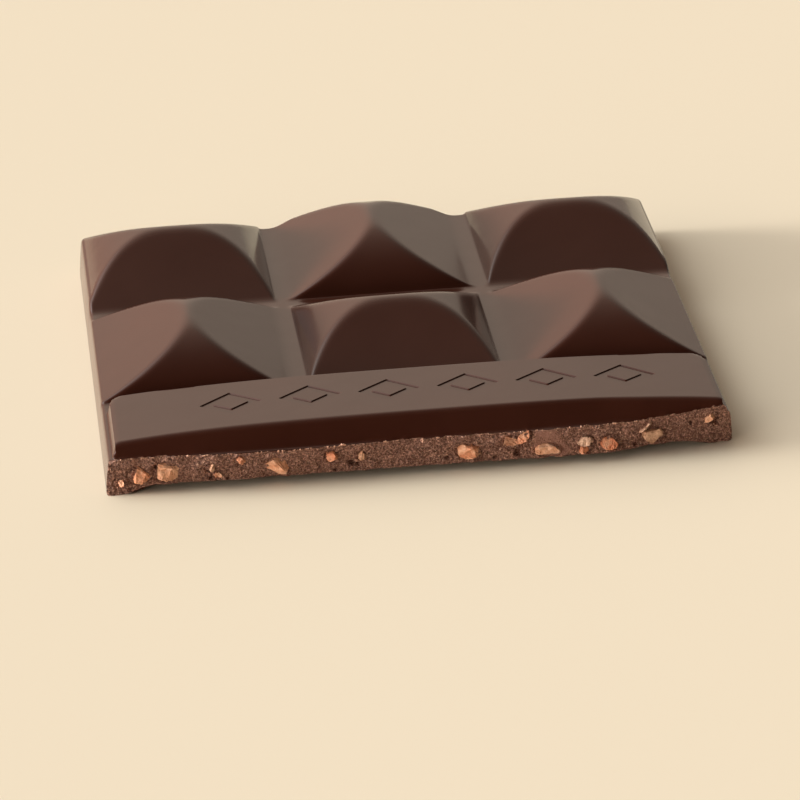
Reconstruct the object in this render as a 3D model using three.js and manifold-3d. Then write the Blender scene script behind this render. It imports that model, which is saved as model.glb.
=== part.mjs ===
// Top end of a moulded dark chocolate bar with chopped nuts: two rows of three squares, the raised
// plain band below them, and the rough face where the bar was snapped off along the next groove.
// Millimetres, +Z up. X runs across the bar, +Y points to the moulded end, the snapped face looks
// to -Y, and the bar lies on the thin rim of its underside.
import * as THREE from "three";
import { mergeVertices } from "three/addons/utils/BufferGeometryUtils.js";
import Module from "manifold-3d";

// The grid of squares. Heights are counted from the floor of the grooves between them.
const PITCH = 25; // one square and its share of the grooves
const COLUMNS = 3;
const HALF_SQUARE = 11.65; // the rest of the pitch is groove floor
const PEAK = 6.1; // height of every square's middle
const EDGE_TRIM = 1.45; // the mould's outer wall takes this much off the outer squares
const END_ROUND = 1.6; // radius of the two upright corners at the moulded end, seen from above

// One square is a barrel vault whose two ends are cut off by sloping flats. The squares lie
// alternately along and across the bar, and the vault is a little fuller when it runs along it.
const ALONG_VAULT = { flatness: 2.25, fullness: 0.71 };
const ACROSS_VAULT = { flatness: 2.19, fullness: 0.855 };
const CREASE = 0.7; // height range over which two faces of a square melt into each other
const RIDGE_ROUND = 0.05; // rounding of the ridge between the two flats, as a share of the square
const FOOT_ROUND = 0.35; // rounding where a face runs into a groove floor

// The raised band across the snapped end.
const BAND_FOOT = -25.3; // where its rear wall leaves the groove floor
const BAND_HEIGHT = 2.65; // in the middle of the bar
const BAND_SINK = 1.15; // how much lower its top lies at both ends
const BAND_SINK_POWER = 3;
const BAND_WALL_SLOPE = 4.3; // rise over run of its rear and end walls
const BAND_CORNER = 2.0;
const BAND_END_TRIM = 0.25; // its ends stand this far inside the bar's own edge
const BAND_FRONT_FOOT = -39.5; // foot of its sloping front, in the middle of the bar
const BAND_FRONT_BOW = 0.5; // and how far that foot draws back at both ends
const BAND_FRONT_SLOPE = 1.0;
const BAND_ROUND = 0.9; // soft turn from its top into its front slope

// The slab under it all.
const SLAB = 3.6; // groove floor to the hollow of the underside
const RIM_DROP = 0.9; // the rim left by the mould's wall stands this far below that hollow
const RIM_FLAT = 1.2;
const RIM_REACH = 5.6; // where the rim has died out, counted in from the top edge
const DRAFT = 0.75; // the foot of the outer wall stands this far outside the top edge
const BOTTOM = -SLAB - RIM_DROP;

// The snapped face, at stations across the bar: where it cuts the groove floor, and where it comes
// out underneath.
const BREAK_LINE = [
  { x: -37.0, top: -39.0, foot: -39.2 },
  { x: -30.5, top: -39.1, foot: -38.9 },
  { x: -21.5, top: -39.8, foot: -39.1 },
  { x: -16.0, top: -40.0, foot: -39.0 },
  { x: -2.6, top: -39.5, foot: -39.2 },
  { x: 12.5, top: -39.7, foot: -39.6 },
  { x: 21.0, top: -39.5, foot: -39.9 },
  { x: 26.0, top: -39.1, foot: -38.5 },
  { x: 32.5, top: -38.6, foot: -37.9 },
  { x: 37.0, top: -37.9, foot: -36.9 },
];
const CRAG_DEPTH = 0.1; // how far the snapped face wanders in and out
const CRAG_SEED = 7;
const CRAG_WAVES = 7;

// Chopped nuts that the break left standing in the face: place across the bar, height against the
// groove floor, width and height.
const NUT_BITS = [
  { x: -34.9, z: -3.0, wide: 1.0, high: 1.0 },
  { x: -32.7, z: -2.3, wide: 1.8, high: 1.7 },
  { x: -29.5, z: -2.1, wide: 2.4, high: 2.2 },
  { x: -24.4, z: -1.8, wide: 1.0, high: 1.1 },
  { x: -17.0, z: -2.2, wide: 2.9, high: 2.3 },
  { x: -10.6, z: -1.4, wide: 1.2, high: 1.2 },
  { x: -7.2, z: -1.5, wide: 0.9, high: 1.2 },
  { x: 5.3, z: -2.2, wide: 2.9, high: 1.8 },
  { x: 10.8, z: -1.1, wide: 2.8, high: 2.0 },
  { x: 14.5, z: -2.4, wide: 2.8, high: 1.6 },
  { x: 18.8, z: -2.3, wide: 1.9, high: 2.2 },
  { x: 21.8, z: -2.2, wide: 2.4, high: 1.7 },
  { x: 26.9, z: -2.0, wide: 2.9, high: 2.2 },
  { x: 34.2, z: -1.2, wide: 1.2, high: 1.2 },
];
const NUT_PROUD = 0.7; // how far a bit stands out of the face
const NUT_DEEP = 1.0; // and how far its root goes in
const NUT_JITTER = 0.22;

// Fineness of the faceted skin.
const SQUARE_STEPS = [0, 0.16, 0.34, 0.52, 0.68, 0.82, 0.92, 0.975, 1];
const BAND_STEPS = [-25.6, -25.85, -26.2, -26.9, -29.5, -32.5, -35, -36.4];
const FRONT_STEPS = [0.35, 0.7, 1];
const RIM_COLUMNS = 5; // stations taken up by the rim on each side

// The outer wall from its top edge down: shares of its height and of its draft.
const WALL_STEPS = [
  { down: 0.06, out: 0.3 },
  { down: 0.16, out: 0.5 },
  { down: 0.38, out: 0.7 },
  { down: 0.62, out: 0.88 },
  { down: 0.84, out: 1 },
  { down: 0.94, out: 0.94 },
  { down: 1, out: 0.53 },
];

const HALF_WIDTH = (COLUMNS * PITCH) / 2 - EDGE_TRIM;
const REAR_EDGE = PITCH - EDGE_TRIM;

// Blends of two heights over a range, and plain interpolation along named stations.
function lower(a, b, range) {
  const share = Math.max(range - Math.abs(a - b), 0) / range;
  return Math.min(a, b) - (share * share * range) / 4;
}

function higher(a, b, range) {
  return -lower(-a, -b, range);
}

function breakStation(x, level) {
  const next = Math.max(BREAK_LINE.findIndex((station) => station.x > x), 1);
  const from = BREAK_LINE[next - 1];
  const to = BREAK_LINE[next];
  return THREE.MathUtils.mapLinear(x, from.x, to.x, from[level], to[level]);
}

// Height of one square, with u and v running from -1 to 1 across and along the bar.
function squareHeight(u, v, vault, runsAlong) {
  const round = runsAlong ? u : v;
  const sloped = runsAlong ? v : u;
  const inside = Math.max(1 - Math.abs(round) ** vault.flatness, 0);
  const outside = Math.min(1 - Math.abs(round), 0);
  const barrel = PEAK * (inside ** vault.fullness + outside);
  const flats = PEAK * (1 + RIDGE_ROUND - Math.hypot(sloped, RIDGE_ROUND));
  return lower(barrel, flats, CREASE);
}

function squaresHeight(x, y) {
  const column = Math.min(Math.max(Math.round(x / PITCH), -1), 1);
  const middleY = y > 0 ? PITCH / 2 : -PITCH / 2;
  const runsAlong = y > 0 ? column !== 0 : column === 0;
  const vault = runsAlong ? ALONG_VAULT : ACROSS_VAULT;
  const u = (x - column * PITCH) / HALF_SQUARE;
  const v = (y - middleY) / HALF_SQUARE;
  return squareHeight(u, v, vault, runsAlong);
}

// Height of the band: a rounded rectangle seen from above, with steep walls and a soft front.
function bandHeight(x, y) {
  const reach = HALF_WIDTH - BAND_END_TRIM;
  const top = BAND_HEIGHT - BAND_SINK * Math.abs(x / HALF_WIDTH) ** BAND_SINK_POWER;
  const pastEnd = Math.abs(x) - (reach - BAND_CORNER);
  const pastRear = y - (BAND_FOOT - BAND_CORNER);
  const corner = Math.hypot(Math.max(pastEnd, 0), Math.max(pastRear, 0));
  const inward = BAND_CORNER - (corner || Math.max(pastEnd, pastRear));
  const frontFoot = BAND_FRONT_FOOT + BAND_FRONT_BOW * (x / HALF_WIDTH) ** 2;
  const front = (y - frontFoot) * BAND_FRONT_SLOPE;
  const walls = lower(inward * BAND_WALL_SLOPE, top, FOOT_ROUND);
  return lower(walls, front, BAND_ROUND);
}

function topHeight(x, y) {
  const squares = y > BAND_FOOT + FOOT_ROUND ? squaresHeight(x, y) : -PEAK;
  const raised = Math.max(squares, bandHeight(x, y));
  return higher(raised, 0, FOOT_ROUND);
}

// The underside: level in the middle, with a flat-footed rim along the three moulded edges.
function undersideHeight(fromEdge) {
  const rise = THREE.MathUtils.smoothstep(fromEdge, RIM_FLAT, RIM_REACH);
  return BOTTOM + RIM_DROP * rise;
}

// Distance in from the moulded edges, with the two end corners rounded.
function fromMouldedEdge(x, y) {
  const pastSide = Math.abs(x) - (HALF_WIDTH - END_ROUND);
  const pastEnd = y - (REAR_EDGE - END_ROUND);
  if (pastSide > 0 && pastEnd > 0) return END_ROUND - Math.hypot(pastSide, pastEnd);
  return END_ROUND - Math.max(pastSide, pastEnd);
}

// Pulls a point of the straight grid in, so that the two end corners come out round.
function roundEndCorner(x, y) {
  const pastSide = Math.abs(x) - (HALF_WIDTH - END_ROUND);
  const pastEnd = y - (REAR_EDGE - END_ROUND);
  if (pastSide <= 0 || pastEnd <= 0) return [x, y];
  const pull = Math.max(pastSide, pastEnd) / Math.hypot(pastSide, pastEnd);
  const side = HALF_WIDTH - END_ROUND + pastSide * pull;
  return [Math.sign(x) * side, REAR_EDGE - END_ROUND + pastEnd * pull];
}

// Relief of the snapped face: a few seeded waves that cross each other.
const waves = [];
THREE.MathUtils.seededRandom(CRAG_SEED);
for (let i = 0; i < CRAG_WAVES; i++) {
  waves.push({
    x: 0.3 + 2.2 * THREE.MathUtils.seededRandom(),
    z: 0.3 + 2.2 * THREE.MathUtils.seededRandom(),
    shift: 2 * Math.PI * THREE.MathUtils.seededRandom(),
  });
}

function breakDepth(x, z) {
  const face = THREE.MathUtils.mapLinear(z, BOTTOM, 0, breakStation(x, "foot"), breakStation(x, "top"));
  const relief = waves.reduce((sum, wave) => sum + Math.sin(wave.x * x + wave.z * z + wave.shift), 0);
  return face + (CRAG_DEPTH * relief) / Math.sqrt(CRAG_WAVES);
}

// Stations across and along the bar: close together beside the grooves, wide on the open faces.
function squareStations(middle) {
  const steps = [...SQUARE_STEPS.slice(1).map((s) => -s).reverse(), ...SQUARE_STEPS];
  return steps.map((s) => middle + s * HALF_SQUARE);
}

function inEdges(stations, low, high) {
  const clearance = 0.2;
  const inner = stations.filter((s) => s > low + clearance && s < high - clearance);
  return [low, ...inner, high];
}

const columns = inEdges([-PITCH, 0, PITCH].flatMap(squareStations), -HALF_WIDTH, HALF_WIDTH);
const squareRows = [-PITCH / 2, PITCH / 2].flatMap(squareStations);
const straightRows = [BAND_FOOT, ...inEdges(squareRows, -PITCH, REAR_EDGE).slice(1)];
straightRows.unshift(...[...BAND_STEPS].reverse());

// Plan of the grid: rows count from the moulded end to the snapped one, where the last few close
// up on the break, which lies further back at some heights than at others.
const lastStraight = BAND_STEPS.at(-1);
const rowCount = straightRows.length + FRONT_STEPS.length;

function planPoint(i, j, z = 0) {
  const x = columns[i];
  if (j < straightRows.length) {
    return roundEndCorner(x, straightRows[straightRows.length - 1 - j]);
  }
  const share = FRONT_STEPS[j - straightRows.length];
  return [x, THREE.MathUtils.lerp(lastStraight, breakDepth(x, z), share)];
}

const points = [];
const triangles = [];

function addPoint(x, y, z) {
  points.push(x, y, z);
  return points.length / 3 - 1;
}

// A four-sided patch, split along the diagonal that bulges least against its neighbours.
function addPatch(a, b, c, d) {
  const middle = (m, n) => (points[3 * m + 2] + points[3 * n + 2]) / 2;
  if (middle(a, c) >= middle(b, d)) {
    triangles.push(a, b, c, a, c, d);
  } else {
    triangles.push(a, b, d, b, c, d);
  }
}

// Top skin.
const lastColumn = columns.length - 1;
const lastRow = rowCount - 1;
const top = columns.map((_, i) => {
  return Array.from({ length: rowCount }, (_, j) => {
    const [x, y] = planPoint(i, j);
    return addPoint(x, y, topHeight(x, y));
  });
});
for (let i = 0; i < lastColumn; i++) {
  for (let j = 0; j < lastRow; j++) {
    addPatch(top[i][j], top[i][j + 1], top[i + 1][j + 1], top[i + 1][j]);
  }
}

// The edge as a closed loop, from the moulded end's left corner down the left side, across the
// snapped face and back up the right side.
const loop = [];
for (let j = 0; j < lastRow; j++) loop.push({ i: 0, j });
for (let i = 0; i < lastColumn; i++) loop.push({ i, j: lastRow });
for (let j = lastRow; j > 0; j--) loop.push({ i: lastColumn, j });
for (let i = lastColumn; i > 0; i--) loop.push({ i, j: 0 });

// Direction in which the moulded wall leans out at a point of the edge.
function leanOf({ i, j }) {
  const [x, y] = planPoint(i, j);
  const pastSide = Math.max(Math.abs(x) - (HALF_WIDTH - END_ROUND), 0) * Math.sign(x);
  const pastEnd = Math.max(y - (REAR_EDGE - END_ROUND), 0);
  const length = Math.hypot(pastSide, pastEnd);
  return [pastSide / length, pastEnd / length];
}

// Outer wall and snapped face, ring under ring.
function ringPoint(step, place) {
  const edge = planPoint(place.i, place.j);
  const edgeHeight = topHeight(...edge);
  const out = DRAFT * step.out;
  if (place.j < lastRow) {
    const z = THREE.MathUtils.lerp(edgeHeight, BOTTOM, step.down);
    const [x, y] = planPoint(place.i, place.j, z);
    const [leanX, leanY] = leanOf(place);
    return [x + out * leanX, y + out * leanY, z];
  }
  const spread = 1 + out / HALF_WIDTH;
  const floor = undersideHeight(fromMouldedEdge(edge[0], 0));
  const z = THREE.MathUtils.lerp(edgeHeight, floor, step.down);
  return [edge[0] * spread, breakDepth(edge[0], z), z];
}

let ring = loop.map(({ i, j }) => top[i][j]);
for (const step of WALL_STEPS) {
  const next = loop.map((place) => addPoint(...ringPoint(step, place)));
  for (let k = 0; k < loop.length; k++) {
    const after = (k + 1) % loop.length;
    addPatch(ring[k], next[k], next[after], ring[after]);
  }
  ring = next;
}

// Underside: the rim strips keep the grid, the level middle is one flat polygon.
const under = new Map(loop.map(({ i, j }, k) => [i + "," + j, ring[k]]));

function underPoint(i, j) {
  const key = i + "," + j;
  if (!under.has(key)) {
    const [x, y] = planPoint(i, j, BOTTOM);
    under.set(key, addPoint(x, y, undersideHeight(fromMouldedEdge(x, y))));
  }
  return under.get(key);
}

const rightRim = lastColumn - RIM_COLUMNS;
for (let i = 0; i < lastColumn; i++) {
  for (let j = 0; j < lastRow; j++) {
    const inRim = i < RIM_COLUMNS || i >= rightRim || j < RIM_COLUMNS;
    if (!inRim) continue;
    addPatch(underPoint(i, j), underPoint(i + 1, j), underPoint(i + 1, j + 1), underPoint(i, j + 1));
  }
}
const inner = [];
for (let j = RIM_COLUMNS; j < lastRow; j++) inner.push(underPoint(RIM_COLUMNS, j));
for (let i = RIM_COLUMNS; i < rightRim; i++) inner.push(underPoint(i, lastRow));
for (let j = lastRow; j > RIM_COLUMNS; j--) inner.push(underPoint(rightRim, j));
for (let i = rightRim; i > RIM_COLUMNS; i--) inner.push(underPoint(i, RIM_COLUMNS));
const outline = inner.map((p) => new THREE.Vector2(points[3 * p], points[3 * p + 1]));
for (const [a, b, c] of THREE.ShapeUtils.triangulateShape(outline, [])) {
  triangles.push(inner[a], inner[c], inner[b]);
}

const slab = new THREE.BufferGeometry();
slab.setAttribute("position", new THREE.Float32BufferAttribute(points, 3));
slab.setIndex(triangles);

// One nut bit: a chipped many-sided lump, wider than it is deep.
function nutBit({ x, z, wide, high }) {
  const lump = new THREE.IcosahedronGeometry(1, 0);
  lump.deleteAttribute("normal");
  lump.deleteAttribute("uv");
  const chipped = mergeVertices(lump, 1e-3);
  const corners = chipped.attributes.position;
  for (let i = 0; i < corners.count; i++) {
    const chip = 1 - NUT_JITTER * THREE.MathUtils.seededRandom();
    corners.setXYZ(i, corners.getX(i) * chip, corners.getY(i) * chip, corners.getZ(i) * chip);
  }
  const depth = (NUT_PROUD + NUT_DEEP) / 2;
  chipped.rotateY(2 * Math.PI * THREE.MathUtils.seededRandom());
  chipped.scale(wide / 2, depth, high / 2);
  chipped.translate(x, breakDepth(x, z) - NUT_PROUD + depth, z);
  return chipped;
}

// Everything fuses into one solid.
const wasm = await Module();
wasm.setup();

function toSolid(geometry) {
  const mesh = new wasm.Mesh({
    numProp: 3,
    vertProperties: new Float32Array(geometry.attributes.position.array),
    triVerts: new Uint32Array(geometry.index.array),
  });
  return new wasm.Manifold(mesh);
}

let solid = toSolid(slab);
for (const bit of NUT_BITS) {
  solid = solid.add(toSolid(nutBit(bit)));
}

const fused = solid.getMesh();
const body = new THREE.BufferGeometry();
body.setAttribute("position", new THREE.BufferAttribute(fused.vertProperties, 3));
body.setIndex(new THREE.BufferAttribute(fused.triVerts, 1));
body.computeBoundingBox();
const middle = body.boundingBox.getCenter(new THREE.Vector3());
body.translate(-middle.x, -middle.y, -body.boundingBox.min.z);
body.computeVertexNormals();

const darkChocolate = new THREE.MeshStandardMaterial({
  color: new THREE.Color(0.16, 0.085, 0.06),
  roughness: 0.35,
  metalness: 0,
});
const chocolate = new THREE.Mesh(body, darkChocolate);
chocolate.name = "chocolate";

const bar = new THREE.Group();
bar.add(chocolate);

export default bar;
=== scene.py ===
# %% [markdown]
# # A snapped-off end of a moulded chocolate bar
#
# Two rows of three moulded squares, a raised band below them, and the rough face where the bar was
# broken, with chopped nuts standing in it. The lesson builds it in three steps: the glossy moulded
# body as one closed mesh, the nut pieces and crumbs of the break, and the studio.
#
# First the frame is loaded. It brings the plain CAD solid, and its box sets the place of everything
# that follows.

# %% Load the frame
import math

import bmesh
import bpy
import numpy as np
from mathutils import Euler, Matrix, Vector, noise


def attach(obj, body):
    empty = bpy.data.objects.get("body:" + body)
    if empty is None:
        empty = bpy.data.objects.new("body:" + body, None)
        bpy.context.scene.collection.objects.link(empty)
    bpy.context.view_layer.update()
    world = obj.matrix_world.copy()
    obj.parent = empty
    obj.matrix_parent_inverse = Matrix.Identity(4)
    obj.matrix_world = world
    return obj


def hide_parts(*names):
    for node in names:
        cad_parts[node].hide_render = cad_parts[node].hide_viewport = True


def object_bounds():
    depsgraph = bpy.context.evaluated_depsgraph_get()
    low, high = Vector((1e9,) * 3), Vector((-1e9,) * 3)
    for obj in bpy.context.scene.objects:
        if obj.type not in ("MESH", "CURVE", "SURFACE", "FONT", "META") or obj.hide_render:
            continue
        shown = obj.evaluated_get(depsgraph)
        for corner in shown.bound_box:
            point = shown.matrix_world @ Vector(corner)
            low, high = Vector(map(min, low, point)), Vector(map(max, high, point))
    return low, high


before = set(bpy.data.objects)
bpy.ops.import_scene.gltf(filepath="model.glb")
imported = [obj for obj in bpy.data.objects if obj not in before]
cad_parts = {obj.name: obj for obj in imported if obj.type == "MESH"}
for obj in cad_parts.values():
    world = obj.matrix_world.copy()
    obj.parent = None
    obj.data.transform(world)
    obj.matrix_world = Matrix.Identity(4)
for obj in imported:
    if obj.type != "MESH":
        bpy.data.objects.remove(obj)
cad_box = [[float(c) for c in corner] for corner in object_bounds()]
print("CAD box in metres:", cad_box)

# %% [markdown]
# ## The sizes
#
# The grid of squares has a pitch of 25 mm. All heights are counted from the floor of the grooves,
# so the underside is below zero while the body is drawn. At the end everything moves up and back,
# into the frame of the CAD solid. Blender counts in metres, so that last step also scales by MM.
# Points that lie nearer to a line than CLOSE count as lying on it.

# %% Named sizes
MM = 0.001
CLOSE = 1e-4
PITCH = 25.0
HALF_SQUARE = 11.65
PEAK = 6.0
CREASE = 0.4
RIDGE_SOFT = 0.05
BACK_ROW_SHIFT = 0.3
HALF_WIDTH = 1.5 * PITCH - 1.45
REAR_EDGE = PITCH - 1.45
END_ROUND = 1.6
SLAB = 3.6
RIM_DROP = 0.9
RIM_FLAT = 1.2
RIM_REACH = 5.6
DRAFT = 0.75
BOTTOM = -SLAB - RIM_DROP

BAND_FOOT = -25.3
BAND_GAP = 0.35
BAND_HEIGHT = 2.65
BAND_SINK = 1.15
BAND_INSET = 0.25
BAND_CORNER = 2.0
BAND_SIDE_STEEP = 4.3
BAND_FRONT = -39.5
BAND_BOW = 0.5
BAND_STEEP = 1.35
BAND_ROUND = 0.5
SOFT_FOOT = 0.35
LAST_STRAIGHT = -36.4
DRAWN_FRONT = -40.0

box_back = cad_box[1][1] / MM
to_frame = Vector((0, box_back - REAR_EDGE - DRAFT, -BOTTOM))
print("the drawing moves by", [round(c, 3) for c in to_frame], "mm into the frame")

# %% [markdown]
# ## The heights of the moulded face
#
# A real bar of this kind comes out of a mould whose cells were milled as barrel vaults, each with
# its two ends cut off by sloping flats. The cells lie alternately along and across the bar. One
# could model a cell by hand and copy it, but a formula keeps every crease exact, and the same
# formula shapes the CAD solid. `lower` is a soft minimum: it melts two faces into each other over
# a range of heights, as the mould's rounded creases do.

# %% Soft minimum, vaults and band
def lower(a, b, reach):
    share = np.maximum(reach - np.abs(a - b), 0) / reach
    return np.minimum(a, b) - share * share * reach / 4


# shape of the barrel and of its end flats, for squares along and across the bar
ALONG = {"flatness": 2.54, "fullness": 0.85, "top": 6.35, "slope": 6.40, "hollow": 0.11}
ACROSS = {"flatness": 2.22, "fullness": 0.785, "top": 6.22, "slope": 6.28, "hollow": 0.20}


def vault(round_way, sloped_way, shape):
    """Height of one square; both ways run from -1 to 1."""
    inside = np.maximum(1 - np.abs(round_way) ** shape["flatness"], 0)
    outside = np.minimum(1 - np.abs(round_way), 0)
    barrel = PEAK * (inside ** shape["fullness"] + outside)
    aside = np.hypot(sloped_way, RIDGE_SOFT)
    flats = shape["top"] - shape["slope"] * aside - shape["hollow"] * 4 * aside * (1 - aside)
    return lower(barrel, flats, CREASE)


def squares_height(x, y):
    column = np.clip(np.round(x / PITCH), -1, 1)
    back = y > 0
    u = (x - column * PITCH) / HALF_SQUARE
    v = (y - np.where(back, PITCH / 2 + BACK_ROW_SHIFT, -PITCH / 2)) / HALF_SQUARE
    runs_along = np.where(back, column != 0, column == 0)
    return np.where(runs_along, vault(u, v, ALONG), vault(v, u, ACROSS))


def band_height(x, y):
    side = np.abs(x) / HALF_WIDTH
    top = BAND_HEIGHT - BAND_SINK * side**3
    past_end = np.abs(x) - (HALF_WIDTH - BAND_INSET - BAND_CORNER)
    past_rear = y - (BAND_FOOT - BAND_CORNER)
    corner = np.hypot(np.maximum(past_end, 0), np.maximum(past_rear, 0))
    inward = BAND_CORNER - np.where(corner > 0, corner, np.maximum(past_end, past_rear))
    front = BAND_STEEP * (y - BAND_FRONT - BAND_BOW * side**2)
    return lower(lower(inward * BAND_SIDE_STEEP, top, SOFT_FOOT), front, BAND_ROUND)


middle_height = float(squares_height(np.array(PITCH), np.array(PITCH / 2)))
print("a square's middle stands", round(middle_height, 2), "mm high")

# %% [markdown]
# ## The ornament in the band
#
# The band of such a bar carries something pressed in with steep thin walls. Here it is a row of
# plain lozenge frames. The recess has a flat bottom, so that the light draws only its edges.
# A lozenge is the set of points where |x|/a + |y|/b stays under 1, which gives the distance to its
# sides directly.

# %% Lozenge frames
LOZENGE_Y = -31.35
LOZENGE_X = [-21.5 + 9.3 * i for i in range(6)]
OUTER = (3.7, 2.75)
INNER = (1.95, 1.45)
CARVED = 0.13
CARVED_WALL = 0.1


def inside_lozenge(dx, dy, size):
    across, along = size
    return (1 - np.abs(dx) / across - np.abs(dy) / along) / math.hypot(1 / across, 1 / along)


def carving(x, y):
    deep = np.zeros_like(x)
    for middle in LOZENGE_X:
        outer = inside_lozenge(x - middle, y - LOZENGE_Y, OUTER)
        inner = -inside_lozenge(x - middle, y - LOZENGE_Y, INNER)
        deep = np.maximum(deep, np.clip(np.minimum(outer, inner) / CARVED_WALL, 0, 1))
    return CARVED * deep


def top_height(x, y):
    squares = np.where(y > BAND_FOOT + BAND_GAP, squares_height(x, y), -PEAK)
    raised = np.maximum(squares, band_height(x, y))
    return -lower(-raised, 0 * raised, SOFT_FOOT) - carving(x, y)


print(len(LOZENGE_X), "lozenges,", CARVED, "mm deep")

# %% [markdown]
# ## The snapped face
#
# Chocolate breaks along a thin groove in a line that wanders a little, and the break leans in or
# out below its top edge. The wandering is given at stations across the bar. Finer crags come from
# noise in four sizes, and every nut piece has a shallow socket around it where it tore loose. In
# one place a smooth chip has split off, and small air holes are left from the pouring.

# %% Where the break runs
BREAK_X = [-37.0, -30.5, -21.5, -16.0, -2.6, 12.5, 21.0, 26.0, 32.5, 37.0]
BREAK_TOP = [-39.0, -39.1, -39.8, -40.0, -39.5, -39.7, -39.5, -39.15, -38.7, -38.1]
BREAK_FOOT = [-39.2, -38.9, -39.1, -39.0, -39.2, -39.6, -39.9, -38.5, -37.9, -36.9]

# each nut piece: place across, level, width, height, tone from pale to brown, turn in degrees
NUT_BITS = [
    (-35.0, -2.9, 0.8, 1.0, 0.8, 0),
    (-32.75, -2.2, 2.0, 2.2, 0.50, 20),
    (-29.45, -2.0, 2.8, 2.4, 0.35, 0),
    (-24.45, -1.7, 0.9, 1.1, 0.12, 0),
    (-23.8, -2.7, 0.9, 0.7, 0.85, -40),
    (-21.1, -0.95, 1.0, 1.1, 0.85, 0),
    (-17.05, -2.25, 2.8, 2.5, 0.42, 0),
    (-10.6, -1.3, 1.4, 1.4, 0.68, 0),
    (-7.15, -1.55, 0.7, 1.1, 0.30, -25),
    (5.3, -2.2, 3.0, 1.8, 0.55, -12),
    (10.35, -1.3, 2.0, 1.6, 0.90, 0),
    (11.7, -0.8, 2.2, 1.1, 0.62, 38),
    (14.55, -2.6, 3.0, 1.7, 0.32, -5),
    (18.9, -1.8, 1.7, 1.1, 0.02, 0),
    (18.85, -2.75, 1.3, 1.3, 0.66, 0),
    (21.85, -2.25, 2.4, 1.8, 0.72, -15),
    (26.9, -2.0, 2.7, 2.1, 1.0, -20),
    (26.0, -1.15, 1.9, 0.5, 0.03, 42),
    (33.9, -0.65, 1.6, 0.8, 0.25, 42),
]
# each air hole: place across, level, radius
PITS = [
    (-30.5, -1.3, 0.20),
    (-29.5, -3.35, 0.14),
    (-24.1, -3.25, 0.20),
    (-22.3, -3.35, 0.17),
    (-10.1, -3.4, 0.14),
    (-8.15, -2.55, 0.33),
    (-7.5, -2.75, 0.24),
    (2.8, -2.8, 0.24),
    (8.3, -3.1, 0.22),
    (10.9, -2.75, 0.40),
    (24.55, -3.15, 0.25),
    (31.2, -1.1, 0.17),
    (34.1, -1.6, 0.30),
]
# corners of a smooth chip that split off around one nut piece
CHIP = [(13.0, -0.1), (15.2, 0.3), (17.3, -3.1), (15.9, -3.6), (13.4, -3.3), (12.6, -2.0)]
CHIP_STEP = 0.12
CHIP_EDGE = 0.15
CHIP_SMOOTH = 0.7
CRAG_SIZES = ((2.6, 0.16), (1.1, 0.17), (0.5, 0.13), (0.22, 0.09))
SOCKET_SHIFT = (0.06, -0.04)
SOCKET_DEPTH = 0.26
SOCKET_WIDTH = 0.16
PIT_DEPTH = 0.75


def break_plane(x, z):
    share = (z - BOTTOM) / -BOTTOM
    foot = np.interp(x, BREAK_X, BREAK_FOOT)
    return foot + share * (np.interp(x, BREAK_X, BREAK_TOP) - foot)


def crags(x, z):
    """Fine relief of the break at one point, outwards positive."""
    rough = 0.0
    for size, height in CRAG_SIZES:
        rough += height * noise.noise(Vector((x / size, 5.0, z / size)))
    return rough


def on_chip(x, z):
    """1 on the smooth chip and 0 off it; its corners go round clockwise."""
    inside = np.full_like(x, 1.0)
    for (x0, z0), (x1, z1) in zip(CHIP, CHIP[1:] + CHIP[:1]):
        to_right = ((x - x0) * (z1 - z0) - (z - z0) * (x1 - x0)) / math.hypot(x1 - x0, z1 - z0)
        inside = np.minimum(inside, np.clip(to_right / CHIP_EDGE, 0, 1))
    return inside


def sockets(x, z):
    """How far the face is hollowed next to nuts and in the small air holes."""
    hollow = np.zeros_like(x)
    for middle, level, wide, high, _, turn in NUT_BITS:
        c, s = math.cos(math.radians(turn)), math.sin(math.radians(turn))
        dx, dz = x - middle - SOCKET_SHIFT[0], z - level - SOCKET_SHIFT[1]
        away = np.hypot((c * dx + s * dz) / (wide / 2), (c * dz - s * dx) / (high / 2))
        hollow = np.maximum(hollow, SOCKET_DEPTH * np.exp(-(((away - 1.0) / SOCKET_WIDTH) ** 2)))
    for middle, level, radius in PITS:
        away = np.hypot(x - middle, z - level)
        hollow = np.maximum(hollow, PIT_DEPTH * np.exp(-((away / radius) ** 4)))
    return hollow


def break_depth(x, z):
    rough = np.array([crags(a, b) for a, b in zip(x, z)])
    chip = on_chip(x, z)
    return break_plane(x, z) - rough * (1 - CHIP_SMOOTH * chip) - CHIP_STEP * chip + sockets(x, z)


print("the break wanders over", max(BREAK_TOP) - min(BREAK_TOP), "mm")

# %% [markdown]
# ## The drawing that becomes the body
#
# The body starts flat, as a plan of the bar from above. A plain grid with even cells would waste
# most of its faces on the open flats, and miss the steep feet of the squares. So the grid is made
# even first, and its lines then move to stations that crowd together wherever the height changes
# fast.

# %% Stations that crowd together at the creases
SAMPLES = 8001


def stations(low, high, crowded, coarse, fine, reach=0.5, fade=1.6):
    place = np.linspace(low, high, SAMPLES)
    away = np.abs(place[:, None] - np.array(crowded)).min(axis=1)
    share = np.clip((away - reach) / fade, 0, 1)
    step = fine + (coarse - fine) * share * share * (3 - 2 * share)
    count = np.concatenate([[0], np.cumsum(np.diff(place) / step[1:])])
    wanted = np.linspace(0, count[-1], int(round(count[-1])) + 1)
    return np.interp(wanted, count, place)


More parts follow.
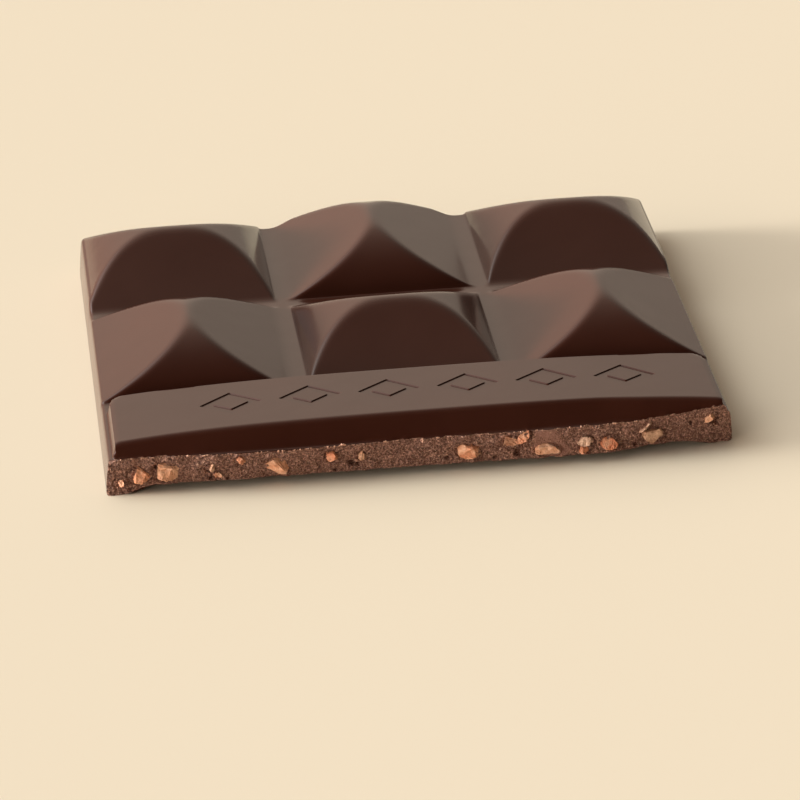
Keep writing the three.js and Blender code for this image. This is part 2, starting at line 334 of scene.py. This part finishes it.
COARSE, FINE = ((0.42, 0.16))
feet_x = [c + s * HALF_SQUARE for c in (-PITCH, 0, PITCH) for s in (-1, 1)]
feet_y = [c + s * HALF_SQUARE for c in (-PITCH / 2, PITCH / 2 + BACK_ROW_SHIFT) for s in (-1, 1)]
band_edges = [-25.6, -37.5, -39.8]
columns = stations(-HALF_WIDTH, HALF_WIDTH, feet_x, COARSE, FINE)
rows = stations(DRAWN_FRONT, REAR_EDGE, [*feet_y, *band_edges], COARSE, FINE)
print(len(columns), "columns and", len(rows), "rows")

# %% [markdown]
# ## The plan, with the lozenges cut in
#
# `create_grid` makes the even grid. The lozenge sides run across it at a slant, where a height
# formula alone would leave ragged steps. `bisect_plane` cuts clean edges along them while all is
# still flat, only in the faces around each lozenge.

# %% Grid and cut lines
bm = bmesh.new()
bmesh.ops.create_grid(bm, x_segments=len(columns) - 1, y_segments=len(rows) - 1, size=1.0)
for v in bm.verts:
    i = round((v.co.x + 1) / 2 * (len(columns) - 1))
    j = round((v.co.y + 1) / 2 * (len(rows) - 1))
    v.co = (columns[i], rows[j], 0)

AROUND = 0.6
for middle in LOZENGE_X:
    centre = Vector((middle, LOZENGE_Y, 0))
    near = [
        f
        for f in bm.faces
        if abs(f.calc_center_median().x - middle) < OUTER[0] + AROUND
        and abs(f.calc_center_median().y - LOZENGE_Y) < OUTER[1] + AROUND
    ]
    geom = list({v for f in near for v in f.verts} | {e for f in near for e in f.edges} | set(near))
    for size, offsets in ((OUTER, (0, -CARVED_WALL)), (INNER, (0, CARVED_WALL))):
        for side_x in (-1, 1):
            for side_y in (-1, 1):
                normal = Vector((side_x / size[0], side_y / size[1], 0))
                reach = 1 / normal.length
                normal.normalize()
                for offset in offsets:
                    cut = bmesh.ops.bisect_plane(
                        bm,
                        geom=geom,
                        dist=CLOSE,
                        plane_co=centre + normal * (reach + offset),
                        plane_no=normal,
                    )
                    geom = cut["geom"]
print("the flat plan has", len(bm.faces), "faces")

# %% [markdown]
# ## From plan to closed block
#
# The plan is extruded downwards in one go, and the upright edges are cut into levels. The level of
# a point is kept in its z for now, from 0 at the top to -1 at the underside. The front wall gets
# one more cut each way, because it becomes the craggy break, and is cut finer still around the
# air holes. Last, the flat middle of the underside is dissolved into one face.

# %% Extrude and cut into levels
LEVELS = 22
extruded = bmesh.ops.extrude_face_region(bm, geom=bm.faces[:], use_keep_orig=True)
low_verts = [g for g in extruded["geom"] if isinstance(g, bmesh.types.BMVert)]
bmesh.ops.translate(bm, verts=low_verts, vec=(0, 0, -1))
upright = [e for e in bm.edges if abs(e.verts[0].co.z - e.verts[1].co.z) > 0.5]
bmesh.ops.subdivide_edges(bm, edges=upright, cuts=LEVELS - 1, use_grid_fill=True)

front = [f for f in bm.faces if all(v.co.y < DRAWN_FRONT + CLOSE for v in f.verts)]
front_edges = list({e for f in front for e in f.edges})
bmesh.ops.subdivide_edges(bm, edges=front_edges, cuts=1, use_grid_fill=True)

# levels of the wall, and how far down it each of them lies
WALL_LEVEL = [0, 0.07, 0.14, 0.22, 0.32, 0.5, 0.7, 0.82, 0.88, 0.94, 1]
WALL_DOWN = [0, 0.012, 0.035, 0.08, 0.17, 0.42, 0.72, 0.88, 0.935, 0.975, 1]
PIT_MARGIN = 0.25


def by_a_pit(across, height):
    return any(
        math.hypot(across - at, height - level) < radius + PIT_MARGIN for at, level, radius in PITS
    )


pit_edges = set()
for f in bm.faces:
    centre = f.calc_center_median()
    if centre.y > DRAWN_FRONT + CLOSE:
        continue
    height = BOTTOM * float(np.interp(-centre.z, WALL_LEVEL, WALL_DOWN))
    if by_a_pit(centre.x, height):
        pit_edges.update(f.edges)
bmesh.ops.subdivide_edges(bm, edges=list(pit_edges), cuts=2, use_grid_fill=True)
print(len(pit_edges), "edges around the air holes were cut again")

middle_low = [
    f
    for f in bm.faces
    if all(
        v.co.z < -0.999
        and abs(v.co.x) < HALF_WIDTH - RIM_REACH
        and LAST_STRAIGHT + 0.5 < v.co.y < REAR_EDGE - RIM_REACH
        for v in f.verts
    )
]
bmesh.ops.dissolve_faces(bm, faces=middle_low, use_verts=False)
bmesh.ops.recalc_face_normals(bm, faces=bm.faces[:])
print("the block has", len(bm.verts), "points and", len(bm.faces), "faces")

# %% [markdown]
# ## Every point to its place
#
# Now each point of the block moves to where it belongs. Numpy does it for all of them at once,
# which is far quicker than a loop. The outer wall starts with a small rounding, leans out by the
# draft that lets the bar leave its mould, and turns in again at the foot.

# %% Places by formula
body_mesh = bpy.data.meshes.new("moulded_body")
bm.to_mesh(body_mesh)
bm.free()

flat = np.empty(len(body_mesh.vertices) * 3, np.float64)
body_mesh.vertices.foreach_get("co", flat)
x, y, level = flat.reshape(-1, 3).T
level = -level

WALL_OUT = [0, 0.16, 0.31, 0.44, 0.55, 0.74, 0.94, 1.0, 0.98, 0.87, 0.66]
down = np.interp(level, WALL_LEVEL, WALL_DOWN)
out = DRAFT * np.interp(level, WALL_LEVEL, WALL_OUT)

past_side = np.maximum(np.abs(x) - (HALF_WIDTH - END_ROUND), 0)
past_end = np.maximum(y - (REAR_EDGE - END_ROUND), 0)
length = np.hypot(past_side, past_end)
in_corner = (past_side > 0) & (past_end > 0)
pull = np.where(in_corner, np.maximum(past_side, past_end) / np.maximum(length, 1e-9), 1)
plan_x = np.where(in_corner, np.sign(x) * (HALF_WIDTH - END_ROUND + past_side * pull), x)
plan_y = np.where(in_corner, REAR_EDGE - END_ROUND + past_end * pull, y)

on_side = np.abs(x) > HALF_WIDTH - CLOSE
on_rear = y > REAR_EDGE - CLOSE
on_break = y < DRAWN_FRONT + CLOSE
on_wall = (on_side | on_rear) & (level > 0)
print(int(on_break.sum()), "points on the break and", int(on_wall.sum()), "on the moulded wall")


# %% Underside, break and walls
def underside(px, py):
    side = np.abs(px) - (HALF_WIDTH - END_ROUND)
    end = py - (REAR_EDGE - END_ROUND)
    both = (side > 0) & (end > 0)
    from_edge = END_ROUND - np.where(both, np.hypot(side, end), np.maximum(side, end))
    share = np.clip((from_edge - RIM_FLAT) / (RIM_REACH - RIM_FLAT), 0, 1)
    return BOTTOM + RIM_DROP * share * share * (3 - 2 * share)


closing = np.clip((LAST_STRAIGHT - y) / (LAST_STRAIGHT - DRAWN_FRONT), 0, 1)
in_front = closing > 0


def closed_up(z):
    """Rows near the front close up on the break; only the last ones follow its fine relief."""
    moved = plan_y.copy()
    across, height, share = plan_x[in_front], z[in_front], closing[in_front]
    even = break_plane(across, height)
    uneven = break_depth(across, height) - even
    moved[in_front] = LAST_STRAIGHT + share * (even - LAST_STRAIGHT) + share**12 * uneven
    return moved


edge_y = closed_up(np.zeros_like(x))
edge_z = top_height(plan_x, edge_y)
low_z = np.where(on_break, underside(plan_x, 0 * plan_x), BOTTOM)
z = edge_z + down * (low_z - edge_z)
inner_low = (level > 0.999) & ~on_wall & ~on_break
z[inner_low] = underside(plan_x[inner_low], plan_y[inner_low])
final_y = closed_up(z)

lean = np.maximum(np.hypot(past_side, past_end), 1e-9)
move_x = np.where(on_wall & ~on_break, out * np.sign(x) * past_side / lean, 0)
move_y = np.where(on_wall & ~on_break, out * past_end / lean, 0)
move_x = np.where(on_break, out * plan_x / HALF_WIDTH, move_x)

places = np.stack([plan_x + move_x, final_y + move_y, z], axis=1)
places = (places + np.array(to_frame)) * MM
print("lowest", places[:, 2].min(), "front", places[:, 1].min(), "against", cad_box[0][1])

# %% [markdown]
# ## The body as an object
#
# The object sits at the origin with its place in its mesh. Faces on the break take a second
# material, and a mask on the points tells it where the chip is. Creases over 35 degrees are marked
# sharp, so that the edge of the break and the walls of the lozenges stay crisp while the vaults
# shade smoothly.

# %% Body object
SHARP = math.radians(35)
body_mesh.vertices.foreach_set("co", places.astype(np.float32).ravel())
body_mesh.update()
body = bpy.data.objects.new("moulded_body", body_mesh)
bpy.context.scene.collection.objects.link(body)

chip_mask = body_mesh.attributes.new("chip", "FLOAT", "POINT")
chip_mask.data.foreach_set("value", (on_chip(plan_x, z) * on_break).astype(np.float32))
broken_face = [all(on_break[i] for i in p.vertices) for p in body_mesh.polygons]
body_mesh.polygons.foreach_set("material_index", np.array(broken_face, np.int32))
body_mesh.polygons.foreach_set("use_smooth", np.ones(len(body_mesh.polygons), bool))
body_mesh.set_sharp_from_angle(angle=SHARP)
body_mesh.update()
triangles = sum(len(p.vertices) - 2 for p in body_mesh.polygons)
print(sum(broken_face), "faces on the break,", triangles, "triangles in all")

# %% [markdown]
# ## Chopped nuts
#
# The knife leaves nuts as small blocks with flat sides and sharp arrises. Each starts as a ball and
# is cut by flats at random, as a knife would: `bisect_plane` clears what lies outside, and the hole
# is filled. A fine subdivision and a little noise then give the dry crumbly grain of a cut nut.
# The tone of each piece, from pale to brown, is kept on its points for the material.

# %% One chopped piece
rng = np.random.default_rng(11)
NUT_PROUD = 0.6
NUT_DEPTH = 1.8
NUT_CUTS = 8
NUT_CUT_FROM, NUT_CUT_TO = 0.45, 0.75
NUT_FACE = 0.42
NUT_TILT = 0.35
NUT_GRAIN = ((1.6, 0.10), (3.5, 0.12), (8.0, 0.07))


def knife_cut(piece, way, distance):
    cut = bmesh.ops.bisect_plane(
        piece,
        geom=piece.verts[:] + piece.edges[:] + piece.faces[:],
        dist=CLOSE,
        plane_co=way * distance,
        plane_no=way,
        clear_outer=True,
    )
    rim = [g for g in cut["geom_cut"] if isinstance(g, bmesh.types.BMEdge)]
    if rim:
        bmesh.ops.edgeloop_fill(piece, edges=rim)


def chopped(target, centre, size, tone, turn, tone_layer):
    piece = bmesh.new()
    bmesh.ops.create_icosphere(piece, subdivisions=2, radius=1.0)
    for _ in range(NUT_CUTS):
        knife_cut(piece, Vector(rng.normal(size=3)).normalized(), rng.uniform(NUT_CUT_FROM, NUT_CUT_TO))
    tilt_x, tilt_z = rng.uniform(-NUT_TILT, NUT_TILT, 2)
    knife_cut(piece, Vector((tilt_x, -1, tilt_z)).normalized(), NUT_FACE)
    for _ in range(2):
        bmesh.ops.triangulate(piece, faces=piece.faces[:])
        bmesh.ops.subdivide_edges(piece, edges=piece.edges[:], cuts=1, use_grid_fill=True)
    bmesh.ops.triangulate(piece, faces=piece.faces[:])
    bmesh.ops.recalc_face_normals(piece, faces=piece.faces[:])
    corners = np.array([v.co for v in piece.verts])
    low, high = corners.min(axis=0), corners.max(axis=0)
    bmesh.ops.translate(piece, verts=piece.verts[:], vec=Vector(-(low + high) / 2))
    bmesh.ops.scale(piece, verts=piece.verts[:], vec=Vector(np.array(size) / (high - low)))
    lean = Matrix.Rotation(-math.radians(turn), 3, "Y")
    bmesh.ops.rotate(piece, verts=piece.verts[:], matrix=lean)
    for v in piece.verts:
        here = v.co + Vector(centre)
        rough = sum(high * noise.noise(here * often) for often, high in NUT_GRAIN)
        v.co += v.normal * rough
    bmesh.ops.translate(piece, verts=piece.verts[:], vec=centre)
    made = bpy.data.meshes.new("piece")
    piece.to_mesh(made)
    piece.free()
    before = len(target.verts)
    target.from_mesh(made)
    target.verts.ensure_lookup_table()
    for v in target.verts[before:]:
        v[tone_layer] = tone
    bpy.data.meshes.remove(made)


# %% All nut pieces
def settle(target, name):
    """Move a drawn mesh into the frame and make it an object."""
    for v in target.verts:
        v.co = (v.co + to_frame) * MM
    mesh = bpy.data.meshes.new(name)
    target.to_mesh(mesh)
    target.free()
    made = bpy.data.objects.new(name, mesh)
    bpy.context.scene.collection.objects.link(made)
    return made


nuts_bm = bmesh.new()
tone_layer = nuts_bm.verts.layers.float.new("tone")
furthest = cad_box[0][1] / MM - to_frame.y + 0.1
for across, height, wide, high, tone, turn in NUT_BITS:
    face_y = float(break_plane(np.array(across), np.array(height)))
    middle_y = max(face_y - NUT_PROUD, furthest) + NUT_DEPTH / 2
    chopped(nuts_bm, (across, middle_y, height), (wide, NUT_DEPTH, high), tone, turn, tone_layer)
nuts = settle(nuts_bm, "nut_pieces")
print(len(NUT_BITS), "nut pieces with", len(nuts.data.polygons), "faces")

# %% [markdown]
# ## Crumbs of the break
#
# A fresh break is sprinkled with tiny pale chips of itself. Along its upper edge they are splinters of
# the thin skin, and there their pale colour is also a painted highlight: it stands for the bright line
# that the edge of the break catches. They lie there in clusters, which a noise along the edge decides,
# and a few more outline the chip. Each is a small block of twelve triangles, turned and stretched at
# random from a fixed seed.

# %% Crumbs on the face and along its edges
crumb_rng = np.random.default_rng(23)
FACE_CRUMBS, EDGE_CRUMBS = ((420, 620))
CRUMBS_PER_MM = 7
FACE_SPAN, EDGE_SPAN = 36.2, 36.0
FACE_LEVELS = (-3.55, -0.1)
EDGE_LEVEL = -0.05
FACE_SIZES, CHIP_SIZES = (0.05, 0.16), (0.05, 0.13)
SMALLEST, GROWTH = 0.05, 0.14
CLUSTER, CLUSTER_SHARE, CLUSTER_FADE = 1.3, 0.15, 0.45


def crumb(target, centre, size):
    turn = Euler(crumb_rng.uniform(0, 6.28, 3)).to_matrix().to_4x4()
    stretch = Matrix.Diagonal((*(size * crumb_rng.uniform(0.5, 1.3, 3)), 1))
    bmesh.ops.create_cube(target, size=1.0, matrix=Matrix.Translation(centre) @ turn @ stretch)


crumbs_bm = bmesh.new()
for _ in range(FACE_CRUMBS):
    across = crumb_rng.uniform(-FACE_SPAN, FACE_SPAN)
    level_here = crumb_rng.uniform(*FACE_LEVELS)
    surface = break_depth(np.array([across]), np.array([level_here]))[0]
    crumb(crumbs_bm, (across, surface - 0.02, level_here), crumb_rng.uniform(*FACE_SIZES))
for _ in range(EDGE_CRUMBS):
    across = crumb_rng.uniform(-EDGE_SPAN, EDGE_SPAN)
    crowded = noise.noise(Vector((across / CLUSTER, 9.0, 0.0))) + CLUSTER_SHARE
    if crumb_rng.uniform(0, CLUSTER_FADE) > crowded:
        continue
    surface = break_depth(np.array([across]), np.array([EDGE_LEVEL]))[0]
    crumb(crumbs_bm, (across, surface, 0.0), SMALLEST + GROWTH * crumb_rng.uniform() ** 2)
for (x0, z0), (x1, z1) in zip(CHIP, CHIP[1:] + CHIP[:1]):
    for share in crumb_rng.uniform(0, 1, int(CRUMBS_PER_MM * math.hypot(x1 - x0, z1 - z0))):
        across, level_here = x0 + share * (x1 - x0), z0 + share * (z1 - z0)
        if level_here > EDGE_LEVEL:
            continue
        surface = break_depth(np.array([across]), np.array([level_here]))[0]
        crumb(crumbs_bm, (across, surface - 0.01, level_here), crumb_rng.uniform(*CHIP_SIZES))
crumbs = settle(crumbs_bm, "break_crumbs")
print(len(crumbs.data.polygons) // 6, "crumbs")

# %% [markdown]
# ## Shader groups
#
# Two effects are shared. `grain` makes the sandy unevenness of anything broken: one noise for the
# patches, one for the grains. `handling` gives the faint cloudiness and dust that a glossy moulded
# face picks up. Both only give masks, so each material decides what they do to it.


# %% Group helper and the grain group
def new_group(name, inputs, outputs):
    group = bpy.data.node_groups.new(name, "ShaderNodeTree")
    for label, kind in inputs:
        group.interface.new_socket(label, in_out="INPUT", socket_type=kind)
    for label in outputs:
        group.interface.new_socket(label, in_out="OUTPUT", socket_type="NodeSocketFloat")
    start = group.nodes.new("NodeGroupInput")
    end = group.nodes.new("NodeGroupOutput")
    return group, start, end


def noise_node(tree, vector, scale, detail, roughness=0.5):
    node = tree.nodes.new("ShaderNodeTexNoise")
    node.inputs["Scale"].default_value = scale
    node.inputs["Detail"].default_value = detail
    node.inputs["Roughness"].default_value = roughness
    tree.links.new(vector, node.inputs["Vector"])
    return node.outputs["Fac"]


def spread(tree, value, low, high, to_low=0.0, to_high=1.0):
    node = tree.nodes.new("ShaderNodeMapRange")
    node.inputs["From Min"].default_value = low
    node.inputs["From Max"].default_value = high
    node.inputs["To Min"].default_value = to_low
    node.inputs["To Max"].default_value = to_high
    tree.links.new(value, node.inputs["Value"])
    return node.outputs["Result"]


VECTOR = "NodeSocketVector"
grain, start, end = new_group("grain", [("Vector", VECTOR)], ["Patches", "Grains", "Specks"])
where = start.outputs["Vector"]
patches = noise_node(grain, where, 900, 3)
grains = noise_node(grain, where, 3800, 4, 0.65)
specks = noise_node(grain, where, 7600, 1)
grain.links.new(spread(grain, patches, 0.3, 0.7), end.inputs["Patches"])
grain.links.new(spread(grain, grains, 0.34, 0.66), end.inputs["Grains"])
grain.links.new(spread(grain, specks, 0.64, 0.74), end.inputs["Specks"])
print("grain group has", len(grain.nodes), "nodes")

# %% The handling group
handling, start, end = new_group("handling", [("Vector", VECTOR)], ["Cloud", "Ripple"])
where = start.outputs["Vector"]
cloud = noise_node(handling, where, 90, 3)
handling.links.new(spread(handling, cloud, 0.3, 0.7), end.inputs["Cloud"])
handling.links.new(noise_node(handling, where, 260, 1), end.inputs["Ripple"])
print("handling group has", len(handling.nodes), "nodes")

# %% [markdown]
# ## Materials
#
# The moulded skin took its gloss from the polished mould: a dark brown that shows mostly as
# reflection, so its roughness matters more than its colour. The broken face is the same chocolate
# without that skin, matt and much lighter. The nut material runs from pale to brown by the tone of
# each piece.


# %% Material helpers and the moulded skin
def new_material(name, colour, roughness):
    material = bpy.data.materials.new(name)
    material.use_nodes = True
    material.diffuse_color = (*colour, 1)
    tree = material.node_tree
    shader = tree.nodes["Principled BSDF"]
    shader.inputs["Base Color"].default_value = (*colour, 1)
    shader.inputs["Roughness"].default_value = roughness
    place = tree.nodes.new("ShaderNodeTexCoord").outputs["Object"]
    return material, tree, shader, place


def use_group(tree, group, place):
    node = tree.nodes.new("ShaderNodeGroup")
    node.node_tree = group
    tree.links.new(place, node.inputs["Vector"])
    return node


def colour_ramp(tree, value, stops):
    node = tree.nodes.new("ShaderNodeValToRGB")
    ramp = node.color_ramp
    while len(ramp.elements) < len(stops):
        ramp.elements.new(0.5)
    for element, (position, colour) in zip(ramp.elements, stops):
        element.position = position
        element.color = (*colour, 1)
    tree.links.new(value, node.inputs["Fac"])
    return node.outputs["Color"]


def bump(tree, shader, height, strength, distance):
    node = tree.nodes.new("ShaderNodeBump")
    node.inputs["Strength"].default_value = strength
    node.inputs["Distance"].default_value = distance
    tree.links.new(height, node.inputs["Height"])
    tree.links.new(node.outputs["Normal"], shader.inputs["Normal"])


def mix_colour(tree, share, first, second):
    """Mix two colours; a mix node keeps its colour sockets behind those for numbers and vectors."""
    node = tree.nodes.new("ShaderNodeMix")
    node.data_type = "RGBA"
    for socket, value in ((node.inputs[0], share), (node.inputs[6], first), (node.inputs[7], second)):
        if isinstance(value, bpy.types.NodeSocket):
            tree.links.new(value, socket)
        elif isinstance(value, tuple):
            socket.default_value = (*value, 1)
        else:
            socket.default_value = value
    return node.outputs[2]


skin, tree, shader, place = new_material("moulded skin", (0.045, 0.0125, 0.0072), 0.18)
shader.inputs["IOR"].default_value = 1.5
touch = use_group(tree, handling, place)
clouded = [(0, (0.042, 0.0115, 0.0066)), (1, (0.048, 0.0135, 0.0078))]
tree.links.new(colour_ramp(tree, touch.outputs["Cloud"], clouded), shader.inputs["Base Color"])
tree.links.new(spread(tree, touch.outputs["Cloud"], 0, 1, 0.16, 0.21), shader.inputs["Roughness"])
bump(tree, shader, touch.outputs["Ripple"], 0.08, 0.0003)
print("made", skin.name)

# %% Broken chocolate
broken, tree, shader, place = new_material("broken chocolate", (0.27, 0.125, 0.088), 0.6)
sand = use_group(tree, grain, place)
base = colour_ramp(
    tree,
    sand.outputs["Grains"],
    [(0.0, (0.07, 0.026, 0.017)), (0.45, (0.34, 0.150, 0.104)), (1.0, (0.92, 0.50, 0.37))],
)
patch_share = spread(tree, sand.outputs["Patches"], 0, 1, 0, 0.4)
patchy = mix_colour(tree, patch_share, base, (0.22, 0.092, 0.064))
specked = mix_colour(tree, sand.outputs["Specks"], patchy, (0.90, 0.60, 0.44))
chip = tree.nodes.new("ShaderNodeAttribute")
chip.attribute_name = "chip"
chip_share = spread(tree, chip.outputs["Fac"], 0.3, 0.8, 0, 0.85)
chipped = mix_colour(tree, chip_share, specked, (0.50, 0.235, 0.17))
tree.links.new(chipped, shader.inputs["Base Color"])
bump(tree, shader, sand.outputs["Grains"], 1.0, 0.00026)
print("made", broken.name)

# %% Nut and crumbs
nut, tree, shader, place = new_material("chopped nut", (0.68, 0.30, 0.14), 0.5)
tone = tree.nodes.new("ShaderNodeAttribute")
tone.attribute_name = "tone"
sand = use_group(tree, grain, place)
base = colour_ramp(
    tree,
    tone.outputs["Fac"],
    [
        (0.0, (0.74, 0.48, 0.35)),
        (0.2, (0.95, 0.54, 0.34)),
        (0.5, (0.90, 0.38, 0.20)),
        (0.75, (0.76, 0.25, 0.12)),
        (1.0, (0.54, 0.30, 0.18)),
    ],
)
dark_share = spread(tree, sand.outputs["Grains"], 0, 1, 0.45, 0)
grainy = mix_colour(tree, dark_share, base, (0.34, 0.10, 0.04))
pale_share = spread(tree, sand.outputs["Patches"], 0.4, 0.9, 0, 0.6)
spotted = mix_colour(tree, pale_share, grainy, (0.95, 0.60, 0.40))
tree.links.new(spotted, shader.inputs["Base Color"])
bump(tree, shader, sand.outputs["Grains"], 0.6, 0.00012)

# the crumbs' pale colour is partly their own, as pale chips of the break, and partly a painted
# highlight along the break's upper edge
crumb_and_highlight, *_ = new_material("pale crumb and edge highlight", (0.58, 0.31, 0.21), 0.5)
print("made", nut.name, "and", crumb_and_highlight.name)

# %% Give the pieces their finish
body_mesh.materials.append(skin)
body_mesh.materials.append(broken)
nuts.data.materials.append(nut)
crumbs.data.materials.append(crumb_and_highlight)
for piece in (body, nuts, crumbs):
    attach(piece, "root")
for piece in (body, nuts):
    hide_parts("chocolate")
print("three pieces ride on the root body")

# %% [markdown]
# ## The studio
#
# A plain pale floor runs on behind the bar. The light comes from the sky alone: a low bright glow
# on the left that grazes the squares, a broad window above it, a weak low glow from the front left
# that picks out the grain of the break, and a warm pale wall behind. Lamps would do as well, but a
# glow that fades in the sky has no edge that could show up in the gloss.
# Dark chocolate is read by what it reflects, so where the sky is dim matters as much: the faces
# turned to the front mirror nothing and look deep brown.

# %% Floor
FLOOR_SIZE = 12.0
floor_bm = bmesh.new()
bmesh.ops.create_grid(floor_bm, x_segments=1, y_segments=1, size=FLOOR_SIZE / 2)
floor_mesh = bpy.data.meshes.new("floor")
floor_bm.to_mesh(floor_mesh)
floor_bm.free()
floor = bpy.data.objects.new("floor", floor_mesh)
bpy.context.scene.collection.objects.link(floor)
paper, _, shader, _ = new_material("cream paper", (0.84, 0.745, 0.60), 0.9)
shader.inputs["Specular IOR Level"].default_value = 0.1
floor_mesh.materials.append(paper)
print("floor", FLOOR_SIZE, "m wide")

# %% Sky
world = bpy.data.worlds.new("soft studio")
bpy.context.scene.world = world
world.use_nodes = True
tree = world.node_tree
tree.nodes.remove(tree.nodes["Background"])
view_way = tree.nodes.new("ShaderNodeTexCoord").outputs["Generated"]


def calculate(kind, first, second=0.0):
    node = tree.nodes.new("ShaderNodeMath")
    node.operation = kind
    for socket, value in zip(node.inputs, (first, second)):
        if isinstance(value, bpy.types.NodeSocket):
            tree.links.new(value, socket)
        else:
            socket.default_value = value
    return node.outputs[0]


def glow(azimuth, elevation, sharpness, strength, colour):
    """A soft bright part of the sky; azimuth counts from the back of the bar towards its right."""
    a, e = math.radians(azimuth), math.radians(elevation)
    near = tree.nodes.new("ShaderNodeVectorMath")
    near.operation = "DOT_PRODUCT"
    tree.links.new(view_way, near.inputs[0])
    towards = (math.sin(a) * math.cos(e), math.cos(a) * math.cos(e), math.sin(e))
    near.inputs[1].default_value = towards
    falling = calculate("MULTIPLY", calculate("SUBTRACT", near.outputs["Value"], 1.0), sharpness)
    light = tree.nodes.new("ShaderNodeBackground")
    light.inputs["Color"].default_value = (*colour, 1)
    brightness = calculate("MULTIPLY", calculate("EXPONENT", falling), strength)
    tree.links.new(brightness, light.inputs["Strength"])
    return light.outputs["Background"]


# each glow: azimuth, elevation, sharpness, strength, colour
glows = [
    glow(-85.5, 5.2, 90.0, 145.0, (1.0, 0.95, 0.86)),
    glow(-73.0, 41.5, 13.5, 4.6, (0.97, 1.0, 0.97)),
    glow(-128.0, 8.0, 24.0, 6.0, (1.0, 0.86, 0.74)),
    glow(-2.0, 28.0, 3.6, 1.16, (1.0, 0.81, 0.65)),
]
light_so_far = glows[0]
for light in glows[1:]:
    both = tree.nodes.new("ShaderNodeAddShader")
    tree.links.new(light_so_far, both.inputs[0])
    tree.links.new(light, both.inputs[1])
    light_so_far = both.outputs["Shader"]
tree.links.new(light_so_far, tree.nodes["World Output"].inputs["Surface"])
print("sky made of", len(glows), "glows")

# %% [markdown]
# ## The camera
#
# The camera stands where the photographer stood: a little left of the middle, 26 degrees up, tilted
# by a degree and a half, with a long lens from about half a metre.

# %% Camera
AZIMUTH, ELEVATION, ROLL = -6.19, 26.22, -1.575
DISTANCE = 0.4811
AIM = Vector((-0.00138, -0.02106, 0.0045))
SENSOR_WIDTH, LENS = 36.0, 183.6
camera_data = bpy.data.cameras.new("camera")
camera_data.sensor_width = SENSOR_WIDTH
camera_data.lens = LENS
camera = bpy.data.objects.new("camera", camera_data)
turn = Euler((math.radians(90 - ELEVATION), 0, math.radians(AZIMUTH))).to_matrix()
turn = turn @ Matrix.Rotation(math.radians(ROLL), 3, "Z")
camera.location = AIM + turn @ Vector((0, 0, DISTANCE))
camera.rotation_euler = turn.to_euler()
bpy.context.scene.collection.objects.link(camera)
bpy.context.scene.camera = camera
bpy.context.scene.view_settings.view_transform = "Standard"
print("camera at", [round(c, 4) for c in camera.location])
